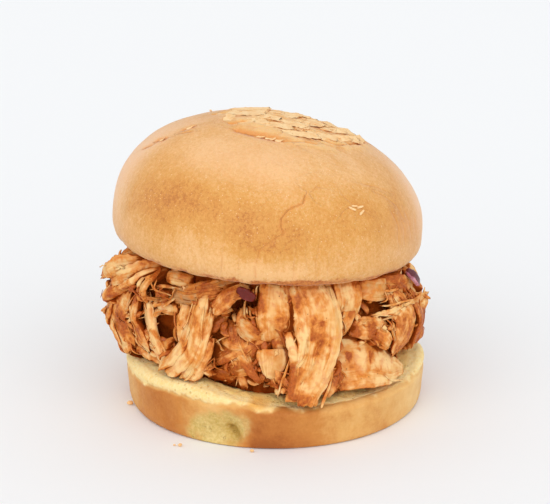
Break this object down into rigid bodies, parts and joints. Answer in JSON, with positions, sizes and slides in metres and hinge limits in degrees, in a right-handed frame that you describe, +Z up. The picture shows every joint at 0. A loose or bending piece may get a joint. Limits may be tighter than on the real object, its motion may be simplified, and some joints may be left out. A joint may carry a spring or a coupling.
{
  "type": "barbecue chicken sandwich",
  "caption": "Pulled barbecue chicken sandwich: a domed bun top leaning on a heap of sauced shreds and slabs with red onion, on a thick bun bottom.",
  "frame": {"origin": "centre of the flat underside of the bun bottom, where it rests on a plate or table", "axes": "+Z up; the sandwich's front, with the broad hanging slab of chicken, faces -Y, and the bun top's high side is at -X"},
  "size_m": [0.1162, 0.1092, 0.1029],
  "materials": {
    "top_crust": "satin golden-brown baked crust with loose flakes on the crest",
    "bottom_crust": "satin brown baked crust round a pale crumb",
    "sauced_chicken": "moist, fibrous, with glossy orange-brown sauce",
    "onion_skin": "moist purple onion skin over a pale pink layer",
    "sauced_onion": "moist dark red onion, stained by the sauce"
  },
  "bodies": {
    "root": {"bun_top": "top_crust", "bun_bottom": "bottom_crust", "pulled_chicken": "sauced_chicken", "red_onion_side": "onion_skin", "red_onion_front": "sauced_onion"}
  },
  "joints": []
}
